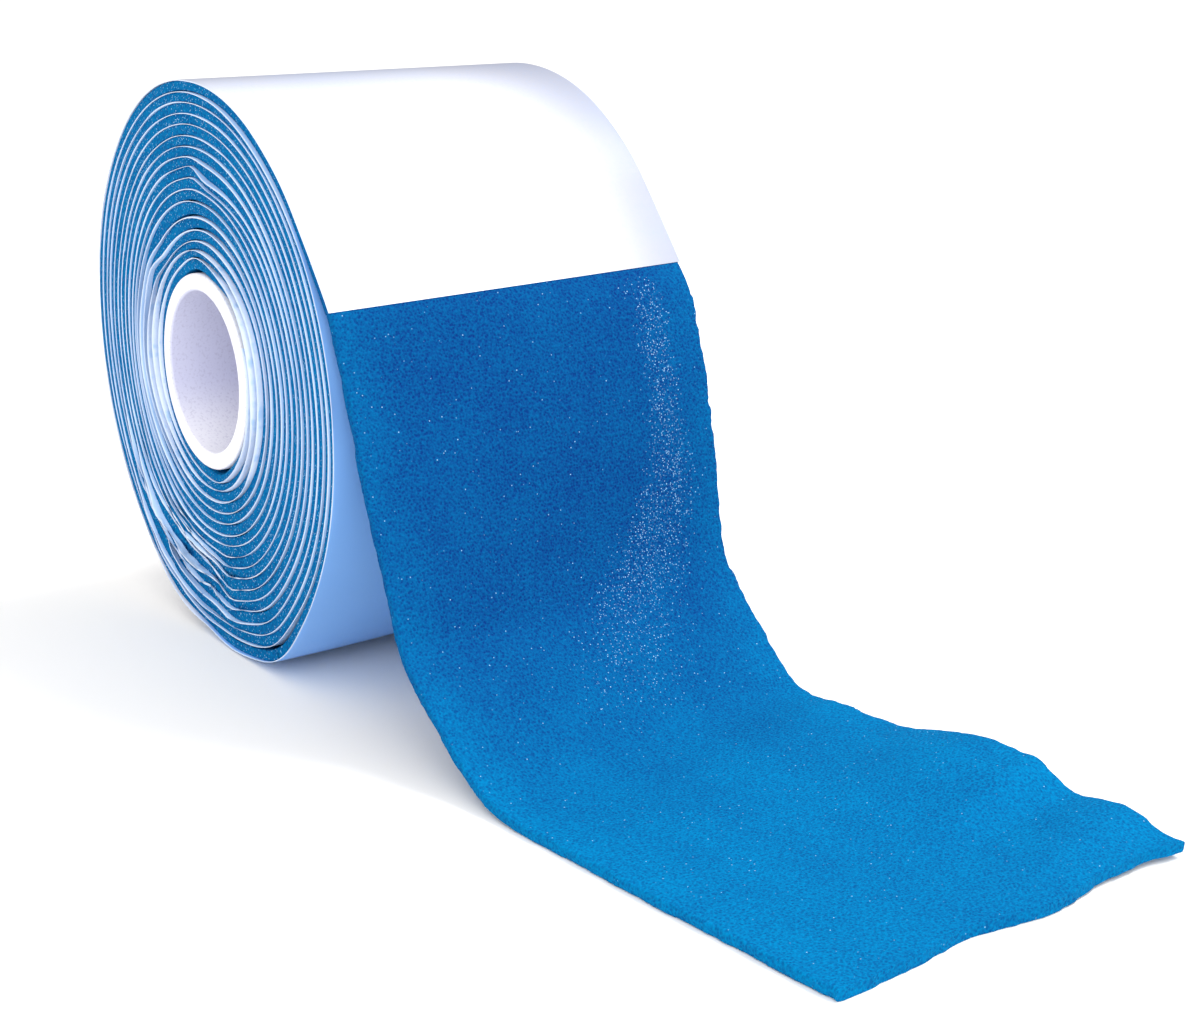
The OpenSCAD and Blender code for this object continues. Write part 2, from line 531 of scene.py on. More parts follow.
def free_strip(spiral, shape):
    """Rings of the free strip from the leaving line to its cut end, and the same points laid out flat."""
    section = foam_section(FREE_PLACES, spiral.foam, mm(shape.edge_rounding))
    v, t = section[None, :, 0], section[None, :, 1]
    end = mm(shape.free_length) + cut_wave(v)
    hang = np.linspace(0, 1, HANGING_ROWS + 1)[:, None] * SEAM + 0 * v
    lie = SEAM + np.linspace(0, 1, LYING_ROWS + 1)[1:, None] * (end - SEAM)
    s = np.concatenate([hang, lie])
    start = spiral.along(float(spiral.turns))
    # the edges go on from those of the wound strip and then take on their own waves
    edge = ease((np.abs(v) - 26) / 4) * np.sign(v)
    settle = ease(s / 6)
    waves = mm(shape.rag) * uneven_edge(s, v, t)
    v = v + edge * (edge_wander(start + s) * (1 - settle) + waves * settle)
    v = v + BULGE * np.maximum(edge, 0) * hump((s - BULGE_AT) / BULGE_LENGTH) * settle
    t = np.broadcast_to(t, v.shape)
    share = ease((v + HALF_WIDTH) / (2 * HALF_WIDTH))
    down = np.radians(slope(s, NEAR_SLOPE) * (1 - share) + slope(s, FAR_SLOPE) * share)
    yaw = shape.yaw * ease((s - YAW_START) / YAW_LENGTH)

    def summed(rate):
        middle = (rate[1:] + rate[:-1]) / 2 * np.diff(s, axis=0)
        return np.concatenate([0 * rate[:1], np.cumsum(middle, axis=0)])

    top0 = spiral.place(np.full_like(v[0], float(spiral.turns)), v[0], spiral.foam)
    x = top0[None, :, 0] + summed(np.cos(down) * np.cos(yaw)) - v * np.sin(yaw)
    y = v * np.cos(yaw) + summed(np.cos(down) * np.sin(yaw))
    z = top0[None, :, 2] - summed(np.sin(down))
    lying = FLOOR + spiral.foam
    z = z + (lying - z[-1:]) * ease((s - LAY_START) / LAY_LENGTH) + far_waves(s, v)
    z = z + 0.10 * wander_2d(s / 9, v / 9, 1.7) * ease(s / 12) * ease((84 - s) / 10)
    top = np.stack([x, y, z], -1)
    # the foam's own thickness lies below its top face, square to it
    run = np.gradient(top, axis=0)
    across = np.stack([-np.sin(yaw), np.cos(yaw), 0 * yaw], -1)
    across[..., 2] = far_waves(s, v + 0.5) - far_waves(s, v - 0.5)
    normal = np.cross(run, across)
    normal = normal / np.linalg.norm(normal, axis=-1, keepdims=True)
    normal = normal * np.sign(normal[..., 2:3] + 1e-9)
    # at the leaving line it goes on from the outer turn's thickness, which points away from the core
    inner0 = spiral.place(np.full_like(v[0], float(spiral.turns)), v[0], 0.0)
    radial = ((top0 - inner0) / spiral.foam)[None]
    turned = ease(s / 9)[..., None]
    normal = radial * (1 - turned) + normal * turned
    rings = top - normal * (spiral.foam - t)[..., None]
    rings[..., 2] = np.maximum(rings[..., 2], FLOOR)
    flat = np.stack([start + s, v, t], -1)
    return rings, flat


# ---------------------------------------------------------------- meshes

# How far round a seam's tongue goes into the next piece, in turns, and how far it is drawn in there,
# as a share of its thickness
TONGUE_TURN = 0.002
FOAM_INSET, FILM_INSET = 0.04, 0.2
# Place of the row that is added close to each end of a piece, as a share of the way to the next row
END_ROW = 0.01
# Turns in from a link's two ends at which ride_or_join works out points, which nothing then uses
LINK_MARGIN = 2.0 / 360


def shrunk(ring, inset):
    """A section's ring drawn in towards the middle of its thickness."""
    half = len(ring) // 2
    other = np.concatenate([ring[half:][::-1], ring[:half][::-1]])
    return ring + (other - ring) * inset


def with_end_rows(rows):
    """Adds a row close to each end, so that the flat end faces don't bend the light on the rows there."""
    first = rows[0] + END_ROW * (rows[1] - rows[0])
    last = rows[-1] + END_ROW * (rows[-2] - rows[-1])
    return np.concatenate([rows[:1], first[None], rows[1:-1], last[None], rows[-1:]])


def solid(name, points, faces, smooth, material, laid_flat=None):
    """A new object from a closed mesh, in mm, with its faces turned outwards. laid_flat gives each point's
    place on the strip while it is still flat, which the grain of its material follows."""
    corner = points[faces]
    volume = np.einsum("ij,ij->i", corner[:, 0], np.cross(corner[:, 1], corner[:, 2])).sum()
    if volume < 0:
        faces = faces[:, ::-1]
    mesh = bpy.data.meshes.new(name)
    mesh.from_pydata((points * MM).tolist(), [], faces.tolist())
    mesh.polygons.foreach_set("use_smooth", smooth)
    if laid_flat is not None:
        laid = mesh.attributes.new("laid_flat", "FLOAT_VECTOR", "POINT")
        laid.data.foreach_set("vector", (laid_flat * MM).astype(np.float32).ravel())
    mesh.materials.append(material)
    mesh.update()
    if mesh.validate():
        raise RuntimeError(f"{name}: the mesh had faults")
    piece = bpy.data.objects.new(name, mesh)
    bpy.context.scene.collection.objects.link(piece)
    return piece


def strip_mesh(name, rings, flat, material, beyond=None, inset=FOAM_INSET):
    """A closed sheet from rings of points. Each ring goes along the lower face and back along the upper
    one. Where the piece goes on into a next one, beyond is a ring in that one and its flat places, and a
    short tongue reaches it just inside the next piece, so that no light shows at the seam."""
    rings, flat = with_end_rows(rings), with_end_rows(flat)
    smooth_rows = len(rings) - 1
    if beyond is not None:
        tongue = np.stack([shrunk(rings[-1], inset), shrunk(beyond[0], inset)])
        rings = np.concatenate([rings, tongue])
        flat = np.concatenate([flat, flat[-1:], beyond[1][None]])
    rows, count = rings.shape[:2]
    index = np.arange(rows * count).reshape(rows, count)
    after = np.roll(index, -1, axis=1)
    sides = np.stack([index[:-1], index[1:], after[1:], after[:-1]], -1).reshape(-1, 4)
    rung = np.arange(count // 2 - 1)
    ladder = np.stack([rung, rung + 1, count - 2 - rung, count - 1 - rung], -1)
    faces = np.concatenate([sides, ladder, ladder[:, ::-1] + (rows - 1) * count])
    smooth = np.arange(len(faces)) < smooth_rows * count
    return solid(name, rings.reshape(-1, 3), faces, smooth, material, flat.reshape(-1, 3))


def wind(name, rings_of, spiral, start, end, spacing, material, inset):
    """One wound stretch from start to end, in turns, and its points laid out flat. It has a tongue into
    the next stretch unless it ends at the leaving line."""
    rings, flat = rings_of(spiral, spiral.stations(start, end, spacing))
    beyond = None
    if end < spiral.turns:
        beyond = [x[0] for x in rings_of(spiral, np.array([end + TONGUE_TURN]))]
    return strip_mesh(name, rings, flat, material, beyond, inset), flat


def ride_or_join(piece, node, spiral):
    """Wound pieces ride on their own body. The link is baked where it lies, and the points worked out at its
    two ends are not used.
    """
    if not node.endswith("_link"):
        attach(piece, "roll" if node.endswith("_winding") else "outer_turn")
        return
    start, end = spiral.link_out - LINK_MARGIN, spiral.link_in + LINK_MARGIN
    start, end = (tuple(spiral.place(n, 0.0, spiral.foam) * MM) for n in (start, end))
    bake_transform(piece)


def declare(node):
    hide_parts(node)


# ---------------------------------------------------------------- materials


def add(tree, kind, inputs=(), **settings):
    """Adds a node, sets it up, and links or fills its named inputs."""
    made = tree.nodes.new(kind)
    for name, value in settings.items():
        setattr(made, name, value)
    for name, value in dict(inputs).items():
        if isinstance(value, bpy.types.NodeSocket):
            tree.links.new(value, made.inputs[name])
        else:
            made.inputs[name].default_value = value
    return made


def maths(tree, operation, a, b=0.0, clamp=False):
    made = tree.nodes.new("ShaderNodeMath")
    made.operation, made.use_clamp = operation, clamp
    for socket, value in zip(made.inputs, (a, b)):
        if isinstance(value, bpy.types.NodeSocket):
            tree.links.new(value, socket)
        else:
            socket.default_value = value
    return made.outputs[0]


def blend_colour(tree, factor, a, b):
    """Colour a where the factor is 0, b where it is 1, and their mix between."""
    made = tree.nodes.new("ShaderNodeMix")
    made.data_type = "RGBA"
    sockets = [s for s in made.inputs if s.type == "RGBA"]
    for socket, value in [(made.inputs[0], factor), (sockets[0], a), (sockets[1], b)]:
        if isinstance(value, bpy.types.NodeSocket):
            tree.links.new(value, socket)
        else:
            socket.default_value = value if isinstance(value, float) else (*value, 1.0)
    return [s for s in made.outputs if s.type == "RGBA"][0]


def rest_of(tree, value):
    """1 where the value is 0, and 0 where it is 1."""
    return maths(tree, "SUBTRACT", 1.0, value)


def ramp(tree, value, low, high):
    """0 below low, 1 above high, and smooth between."""
    made = add(tree, "ShaderNodeMapRange", {"Value": value, "From Min": low, "From Max": high},
               interpolation_type="SMOOTHSTEP")
    return made.outputs["Result"]


def noise(tree, place, scale, detail, roughness):
    made = add(tree, "ShaderNodeTexNoise", {
        "Vector": place, "Scale": scale, "Detail": detail, "Roughness": roughness})
    return made.outputs["Fac"]


def new_group(name, takes, gives):
    """A new node group, with the sockets that it takes from inside and the ones that it gives to."""
    tree = bpy.data.node_groups.new(name, "ShaderNodeTree")
    for label, kind, value in takes:
        socket = tree.interface.new_socket(label, in_out="INPUT", socket_type=kind)
        if value is not None:
            socket.default_value = value
    for label, kind in gives:
        tree.interface.new_socket(label, in_out="OUTPUT", socket_type=kind)
    return tree, tree.nodes.new("NodeGroupInput").outputs, tree.nodes.new("NodeGroupOutput").inputs


def cell_grain():
    """Fine cells of a soft foam: colour down in the cells and on their walls, painted glints, and height."""
    tree, given, out = new_group(
        "Cell grain",
        [("Place", "NodeSocketVector", None), ("Cells per metre", "NodeSocketFloat", 2300.0),
         ("Deep", "NodeSocketColor", None), ("Wall", "NodeSocketColor", None),
         ("Glint", "NodeSocketColor", None), ("Glint share", "NodeSocketFloat", 0.02)],
        [("Colour", "NodeSocketColor"), ("Height", "NodeSocketFloat"), ("Roughness", "NodeSocketFloat")])
    place, scale = given["Place"], given["Cells per metre"]
    finer = maths(tree, "MULTIPLY", scale, 1.1)
    finest = maths(tree, "MULTIPLY", scale, 1.7)
    cells = add(tree, "ShaderNodeTexVoronoi", {"Vector": place, "Scale": scale})
    fine = noise(tree, place, finer, 3.0, 0.65)
    broad = noise(tree, place, 95.0, 4.0, 0.6)
    wall = maths(tree, "MULTIPLY", ramp(tree, cells.outputs["Distance"], 0.15, 0.65), 0.45)
    mottle = maths(tree, "MULTIPLY", ramp(tree, fine, 0.38, 0.66), 0.45)
    patches = maths(tree, "MULTIPLY", ramp(tree, broad, 0.3, 0.7), 0.18)
    mixed = maths(tree, "ADD", maths(tree, "ADD", wall, mottle), patches, clamp=True)
    colour = blend_colour(tree, mixed, given["Deep"], given["Wall"])
    # a few cells, picked by chance, get painted glints: a brighter colour standing in for highlights
    specks = add(tree, "ShaderNodeTexVoronoi", {"Vector": place, "Scale": finest})
    picked = add(tree, "ShaderNodeSeparateColor", {"Color": specks.outputs["Color"]})
    chance = maths(tree, "LESS_THAN", picked.outputs["Red"], given["Glint share"])
    spot = rest_of(tree, ramp(tree, specks.outputs["Distance"], 0.12, 0.5))
    bright = maths(tree, "MULTIPLY", maths(tree, "MULTIPLY", chance, spot), picked.outputs["Green"])
    tree.links.new(blend_colour(tree, bright, colour, given["Glint"]), out["Colour"])
    height = maths(tree, "ADD", maths(tree, "MULTIPLY", cells.outputs["Distance"], 0.7),
                   maths(tree, "MULTIPLY", fine, 0.6))
    tree.links.new(height, out["Height"])
    tree.links.new(maths(tree, "SUBTRACT", 0.88, maths(tree, "MULTIPLY", bright, 0.45)), out["Roughness"])
    return tree


def soft_mottle():
    """Slow uneven tint and fine ripples of a smooth film or moulding."""
    tree, given, out = new_group(
        "Soft mottle",
        [("Place", "NodeSocketVector", None), ("Patches per metre", "NodeSocketFloat", 40.0),
         ("Main", "NodeSocketColor", None), ("Shade", "NodeSocketColor", None),
         ("Shade share", "NodeSocketFloat", 0.5), ("Specks", "NodeSocketFloat", 0.0)],
        [("Colour", "NodeSocketColor"), ("Height", "NodeSocketFloat"), ("Roughness", "NodeSocketFloat")])
    place, scale = given["Place"], given["Patches per metre"]
    grit_scale = maths(tree, "MULTIPLY", scale, 45.0)
    slow = noise(tree, place, scale, 5.0, 0.55)
    grit = noise(tree, place, grit_scale, 2.0, 0.5)
    tint = maths(tree, "MULTIPLY", ramp(tree, slow, 0.35, 0.75), given["Shade share"])
    speck = maths(tree, "MULTIPLY", ramp(tree, grit, 0.5, 0.72), given["Specks"])
    share = maths(tree, "ADD", tint, speck, clamp=True)
    tree.links.new(blend_colour(tree, share, given["Main"], given["Shade"]), out["Colour"])
    height = maths(tree, "ADD", slow, maths(tree, "MULTIPLY", grit, 0.08))
    tree.links.new(height, out["Height"])
    roughness = maths(tree, "ADD", 0.36, maths(tree, "MULTIPLY", grit, 0.16))
    tree.links.new(roughness, out["Roughness"])
    return tree


def shared_group(name, build):
    return bpy.data.node_groups.get(name) or build()


def new_material(name):
    material = bpy.data.materials.new(name)
    material.use_nodes = True
    tree = material.node_tree
    tree.nodes.clear()
    shader = tree.nodes.new("ShaderNodeBsdfPrincipled")
    output = tree.nodes.new("ShaderNodeOutputMaterial")
    tree.links.new(shader.outputs["BSDF"], output.inputs["Surface"])
    return material, tree, shader


def mottled(tree, place, main, shade, patches, shade_share, specks):
    """The shared mottle with its colours. Patches is how many there are in a metre."""
    return add(tree, "ShaderNodeGroup", {
        "Place": place, "Patches per metre": patches, "Main": main, "Shade": shade,
        "Shade share": shade_share, "Specks": specks}, node_tree=shared_group("Soft mottle", soft_mottle))


def mix(a, b, share):
    """Colour a with a share of colour b."""
    return [x + share * (y - x) for x, y in zip(a, b)]


def flat_place(tree):
    """A strip's point while it is laid flat, and its place along the strip and across it, in metres."""
    place = add(tree, "ShaderNodeAttribute", attribute_name="laid_flat").outputs["Vector"]
    axes = add(tree, "ShaderNodeSeparateXYZ", {"Vector": place}).outputs
    return place, axes["X"], axes["Y"]


def wire(tree, shader, group, strength, distance):
    """Feeds a shared group's colour, roughness and height to the shader."""
    bump = add(tree, "ShaderNodeBump", {"Height": group.outputs["Height"], "Strength": strength,
                                        "Distance": distance})
    tree.links.new(group.outputs["Colour"], shader.inputs["Base Color"])
    tree.links.new(group.outputs["Roughness"], shader.inputs["Roughness"])
    tree.links.new(bump.outputs["Normal"], shader.inputs["Normal"])


# The band of painted glints, standing in for the highlight down the hanging foam's far side: it runs down the
# far side, then moves in and widens towards the bend. Distances along from the leaving line and across, in
# metres.
BAND_ACROSS, BAND_MOVE, BAND_MOVES = 0.0215, 0.018, (0.028, 0.066)
BAND_WIDTH, BAND_WIDENING, BAND_WIDENS = 0.0032, 0.0075, (0.02, 0.06)
BAND_STARTS, BAND_ENDS, BAND_FADE = (0.0, 0.006), (0.040, 0.072), (0.2, 1.3)
# Share of the foam's cells with painted glints: everywhere, more in the band, and more on the wound cut
# edges, where they also stand for the cut foam's light specks
GLINT_SHARE, GLINT_BAND, GLINT_CUT = 0.009, 0.5, 0.22
# Painted light: the foam is deep blue where it hangs, and brightened where it lies and towards its long
# edges, standing in for the light on the lying end and along the edges. These are less bright on the free
# strip.
LYING, LYING_PAINTED_LIGHT = (0.035, 0.100), 0.92
EDGE, EDGE_PAINTED_LIGHT = (0.020, 0.030), 0.74
FREE_STARTS, FREE_EDGE_LOSS = (-0.02, 0.002), 0.6
# How much of the lit blue is in the deep one at its brightest, and in the cell walls at their deepest
DEEP_SHARE, WALL_SHARE = 0.32, 0.44
# Where the wound strip's cut edges start across it, and where they end along it
CUT_EDGE, CUT_ENDS = (0.0293, 0.0298), (-0.02, 0.0)

# Turns from the inner end between which the film changes: the stretch under the hanging foam, with painted
# blue bounce light, starts and ends (after it the film has painted shade round the back), then come its
# darker painted shade over the crest and the bright stretch at its cut end. The folds next to the core fade
# out between FOLDS_END.
TINT_STARTS, TINT_ENDS = (15.93, 15.98), (16.30, 16.36)
FAR_STARTS, BRIGHT_STARTS = (16.68, 16.765), (16.78, 16.895)
FOLDS_END = (2.2, 4.5)
# The bright stretch dims across the strip towards its far edge between these places, in metres, by this
# share: painted shade
BRIGHT_ACROSS, BRIGHT_LOSS = (0.004, 0.031), 0.85


def foam_material(colours):
    """Cohesive foam. Painted light makes the lying stretch and the long edges brighter than the deep blue
    hanging stretch, and more painted glints gather in a band down its far side.
    """
    made = bpy.data.materials.get("Cohesive foam")
    if made:
        return made
    made, tree, shader = new_material("Cohesive foam")
    place, along, across = flat_place(tree)
    scene = bpy.context.scene
    leave = Spiral(scene.wrap_sizes, scene.wrap_shape).along(float(scene.wrap_sizes.turns)) * MM
    beyond = maths(tree, "SUBTRACT", along, leave)
    aside = maths(tree, "ABSOLUTE", across)

    # painted light: brighter where the strip lies and towards its long edges, less so at the free strip's
    # edges
    lying = maths(tree, "MULTIPLY", ramp(tree, beyond, *LYING), LYING_PAINTED_LIGHT)
    loss = maths(tree, "MULTIPLY", ramp(tree, beyond, *FREE_STARTS), FREE_EDGE_LOSS)
    edge = maths(tree, "MULTIPLY", ramp(tree, aside, *EDGE), rest_of(tree, loss))
    lit = maths(tree, "ADD", lying, maths(tree, "MULTIPLY", edge, EDGE_PAINTED_LIGHT), clamp=True)
    deep, bright = colours.foam_deep, colours.foam_lit
    wall = blend_colour(tree, lit, mix(deep, bright, WALL_SHARE), bright)
    deep = blend_colour(tree, lit, deep, mix(deep, bright, DEEP_SHARE))

    # painted glints: the band where more of them gather, and the wound cut edges
    moved = maths(tree, "MULTIPLY", ramp(tree, beyond, *BAND_MOVES), BAND_MOVE)
    centre = maths(tree, "SUBTRACT", BAND_ACROSS, moved)
    widened = maths(tree, "MULTIPLY", ramp(tree, beyond, *BAND_WIDENS), BAND_WIDENING)
    width = maths(tree, "ADD", BAND_WIDTH, widened)
    off_band = maths(tree, "DIVIDE", maths(tree, "SUBTRACT", across, centre), width)
    band = rest_of(tree, ramp(tree, maths(tree, "ABSOLUTE", off_band), *BAND_FADE))
    band = maths(tree, "MULTIPLY", band, ramp(tree, beyond, *BAND_STARTS))
    band = maths(tree, "MULTIPLY", band, rest_of(tree, ramp(tree, beyond, *BAND_ENDS)))
    wound = rest_of(tree, ramp(tree, beyond, *CUT_ENDS))
    cut = maths(tree, "MULTIPLY", ramp(tree, aside, *CUT_EDGE), wound)
    share = maths(tree, "ADD", GLINT_SHARE, maths(tree, "MULTIPLY", band, GLINT_BAND))
    share = maths(tree, "ADD", share, maths(tree, "MULTIPLY", cut, GLINT_CUT))

    grain = add(tree, "ShaderNodeGroup", node_tree=shared_group("Cell grain", cell_grain))
    grain.inputs["Glint"].default_value = (*colours.foam_painted_glint, 1.0)
    for name, value in [("Place", place), ("Deep", deep), ("Wall", wall), ("Glint share", share)]:
        tree.links.new(value, grain.inputs[name])
    wire(tree, shader, grain, 0.6, 0.0004)
    shader.inputs["Specular IOR Level"].default_value = 0.03
    return made


def film_material(colours):
    """Release film: white near its cut end, with painted shade inside the roll, round its back and over its
    crest, painted blue bounce light under the hanging foam, and bluer where it is folded.
    """
    made = bpy.data.materials.get("Release film")
    if made:
        return made
    made, tree, shader = new_material("Release film")
    place, along, across = flat_place(tree)
    spiral = Spiral(bpy.context.scene.wrap_sizes, bpy.context.scene.wrap_shape)

    def past(turns):
        return ramp(tree, along, *(spiral.along(n) * MM for n in turns))

    # painted shade: darker inside the roll, round its back and over its crest than on the bright stretch by
    # the cut end, which also dims towards its far edge
    main = blend_colour(tree, past(TINT_ENDS), colours.film_wound_shade, colours.film_back_shade)
    main = blend_colour(tree, past(FAR_STARTS), main, colours.film_far_shade)
    loss = maths(tree, "MULTIPLY", ramp(tree, across, *BRIGHT_ACROSS), BRIGHT_LOSS)
    bright = maths(tree, "MULTIPLY", past(BRIGHT_STARTS), rest_of(tree, loss))
    main = blend_colour(tree, bright, main, colours.film)
    # painted blue bounce light on the film under the hanging foam
    tinted = maths(tree, "MULTIPLY", past(TINT_STARTS), rest_of(tree, past(TINT_ENDS)))
    main = blend_colour(tree, tinted, main, colours.film_bounce_light_and_mottle)

    aside = maths(tree, "ABSOLUTE", across)
    edge = ramp(tree, aside, (HALF_WIDTH + 0.20) * MM, (HALF_WIDTH + 0.40) * MM)
    creases = ramp(tree, noise(tree, place, 420.0, 3.0, 0.5), 0.3, 0.5)
    folds = maths(tree, "MULTIPLY", rest_of(tree, past(FOLDS_END)), creases)
    main = blend_colour(tree, maths(tree, "ADD", edge, folds, clamp=True), main, colours.film_edge)
    shade = blend_colour(tree, 0.22, main, colours.film_bounce_light_and_mottle)
    mottle = mottled(tree, place, main, shade, patches=38.0, shade_share=0.5, specks=0.3)
    wire(tree, shader, mottle, 0.25, 0.0004)
    shader.inputs["Specular IOR Level"].default_value = 0.4
    return made


def plastic_material(colours):
    """Moulded plastic of the core, with fine specks, and painted shade in the bore that fades towards its
    bottom.
    """
    made, tree, shader = new_material("Moulded core")
    place = add(tree, "ShaderNodeTexCoord").outputs["Object"]
    axes = add(tree, "ShaderNodeSeparateXYZ", {"Vector": place}).outputs
    square_x = maths(tree, "MULTIPLY", axes["X"], axes["X"])
    square_z = maths(tree, "MULTIPLY", axes["Z"], axes["Z"])
    radius = maths(tree, "SQRT", maths(tree, "ADD", square_x, square_z))
    # painted shade: the bore wall is darker, fading out towards its bottom where light falls
    inside = rest_of(tree, ramp(tree, radius, (BORE_RADIUS + 0.1) * MM, (BORE_RADIUS + 0.6) * MM))
    inside = maths(tree, "MULTIPLY", inside, ramp(tree, axes["Z"], -0.0135, -0.003))
    main = blend_colour(tree, inside, colours.plastic, colours.plastic_bore_shade)
    shade = blend_colour(tree, 0.35, main, colours.plastic_speck)
    mottle = mottled(tree, place, main, shade, patches=55.0, shade_share=0.2, specks=0.8)
    wire(tree, shader, mottle, 0.15, 0.0003)
    return made


def floor_material(stage):
    made, tree, shader = new_material("Studio floor")
    place = add(tree, "ShaderNodeTexCoord").outputs["Object"]
    shade = (*(0.985 * x for x in stage.floor_colour), 1.0)
    mottle = mottled(tree, place, (*stage.floor_colour, 1.0), shade, patches=2.0, shade_share=0.6, specks=0.0)
    tree.links.new(mottle.outputs["Colour"], shader.inputs["Base Color"])
    shader.inputs["Roughness"].default_value = 0.9
    shader.inputs["Specular IOR Level"].default_value = 0.0
    return made


# ---------------------------------------------------------------- operators

# Radius of the core's rims
CORE_ROUNDING = 0.45


def core_outline():
    """Outline of the tube's wall as (radius, y), up the bore and down the outside."""
    outline = []
    rims = [(BORE_RADIUS, -1), (BORE_RADIUS, 1), (CORE_RADIUS, 1), (CORE_RADIUS, -1)]
    for k, (radius, side) in enumerate(rims):
        centre_r = radius + (CORE_ROUNDING if radius == BORE_RADIUS else -CORE_ROUNDING)
        centre_y = side * (CORE_HALF_LENGTH - CORE_ROUNDING)
        for a in np.radians(270 - 90 * k - np.arange(0, 91, 15)):
            outline.append((centre_r + CORE_ROUNDING * math.cos(a), centre_y + CORE_ROUNDING * math.sin(a)))
        if k == 0:  # points down the bore keep its long faces short
            outline += [(radius, y) for y in np.linspace(centre_y, -centre_y, 13)[1:-1]]
    return np.array(outline)


class HANDWRAP_OT_core(bpy.types.Operator):
    """Turns the tube core, with rounded rims"""

    bl_idname = "handwrap.core"
    bl_label = "Core"

    def execute(self, context):
        radius, y = core_outline().T
        around = np.radians(np.arange(0, 360, 3.0))[:, None]
        rings = np.stack([radius * np.cos(around), y + 0 * around, radius * np.sin(around)], -1)
        rows, count = rings.shape[:2]
        index = np.arange(rows * count).reshape(rows, count)
        after = np.roll(index, -1, axis=0)
        faces = np.stack([index, after, np.roll(after, -1, axis=1), np.roll(index, -1, axis=1)], -1)
        faces = faces.reshape(-1, 4)
        material = plastic_material(context.scene.wrap_colours)
        tube = solid("core_tube", rings.reshape(-1, 3), faces, np.ones(len(faces), bool), material)
        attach(tube, "roll")
        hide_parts("core")
        return {"FINISHED"}


class HANDWRAP_OT_wound_foam(bpy.types.Operator):
    """Winds the foam: the winding, the link and the outer turn"""

    bl_idname = "handwrap.wound_foam"
    bl_label = "Wound foam"

    def execute(self, context):
        scene = context.scene
        spiral = Spiral(scene.wrap_sizes, scene.wrap_shape)
        material = foam_material(scene.wrap_colours)
        for name, node, start, end, spacing in [
            ("foam_wound", "foam_winding", 0.0, spiral.link_in, 1.7),
            ("foam_joining", "foam_link", spiral.link_in, spiral.link_out, 1.2),
            ("foam_outside", "foam_outer_turn", spiral.link_out, float(spiral.turns), 1.2),
        ]:
            piece, flat = wind(name, wound_foam, spiral, start, end, spacing, material, FOAM_INSET)
            ride_or_join(piece, node, spiral)
            declare(node)
        return {"FINISHED"}


class HANDWRAP_OT_free_foam(bpy.types.Operator):
    """Hangs the free strip off the roll and lays its end down"""

    bl_idname = "handwrap.free_foam"
    bl_label = "Free foam"

    def execute(self, context):
        scene = context.scene
        sizes = scene.wrap_sizes
        spiral = Spiral(sizes, scene.wrap_shape)
        material = foam_material(scene.wrap_colours)
        rings, flat = free_strip(spiral, scene.wrap_shape)
        upper, lower = slice(HANGING_ROWS + 1), slice(HANGING_ROWS, None)
        beyond = (rings[HANGING_ROWS + 1], flat[HANGING_ROWS + 1])
        hanging = strip_mesh("foam_hanging", rings[upper], flat[upper], material, beyond)
        lying = strip_mesh("foam_lying", rings[lower], flat[lower], material)
        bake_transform(hanging)
        declare("foam_tail")
        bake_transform(lying)
        declare("foam_free_end")
        return {"FINISHED"}


class HANDWRAP_OT_liner(bpy.types.Operator):
    """Winds the release film on the foam's outer face, with the flap at its cut end as a piece of its own"""

    bl_idname = "handwrap.liner"
    bl_label = "Liner"

    def execute(self, context):
        scene = context.scene
        spiral = Spiral(scene.wrap_sizes, scene.wrap_shape)
        material = film_material(scene.wrap_colours)
        peel = spiral.turn_at(PEEL_X, PEEL_Z)
        for name, node, start, end, spacing in [
            ("liner_wound", "liner_winding", 0.0, spiral.link_in, 1.7),
            ("liner_joining", "liner_link", spiral.link_in, spiral.link_out, 1.2),
            ("liner_outside", "liner_outer_turn", spiral.link_out, peel, 1.2),
            ("liner_cut_end", "liner_flap", peel, float(spiral.turns), 0.8),
        ]:
            piece, flat = wind(name, wound_liner, spiral, start, end, spacing, material, FILM_INSET)
            if node == "liner_flap":
                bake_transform(piece)
            else:
                ride_or_join(piece, node, spiral)
            declare(node)
        return {"FINISHED"}


# ---------------------------------------------------------------- stage, in metres

FLOOR_HALF_SIDE = 6.0
# How far the floor lies under the part, so that their faces don't fight
FLOOR_DROP = 0.00005
# The sky lights the roll least from behind and most from the front, and shows as even white. SKY_FROM
# and SKY_TO are how far its direction points to the front where it is dimmest and brightest.
SKY_FRONT = (0.72, -0.42, 0.55)
SKY_FROM, SKY_TO = -0.6, 0.9
SKY_BACK_STRENGTH, SKY_FRONT_STRENGTH, SKY_SEEN_STRENGTH = 0.40, 1.46, 1.05
# Round lamps: place, diameter and power in watts. They point at the middle of the roll's front.
LAMPS = {"overhead": ((0.14, 0.60, 1.0), 0.6, 9.0), "front_fill": ((0.9, -0.5, 0.5), 0.8, 3.0)}
LAMP_TARGET = Vector((0.04, 0, 0))
SENSOR_WIDTH = 36.0


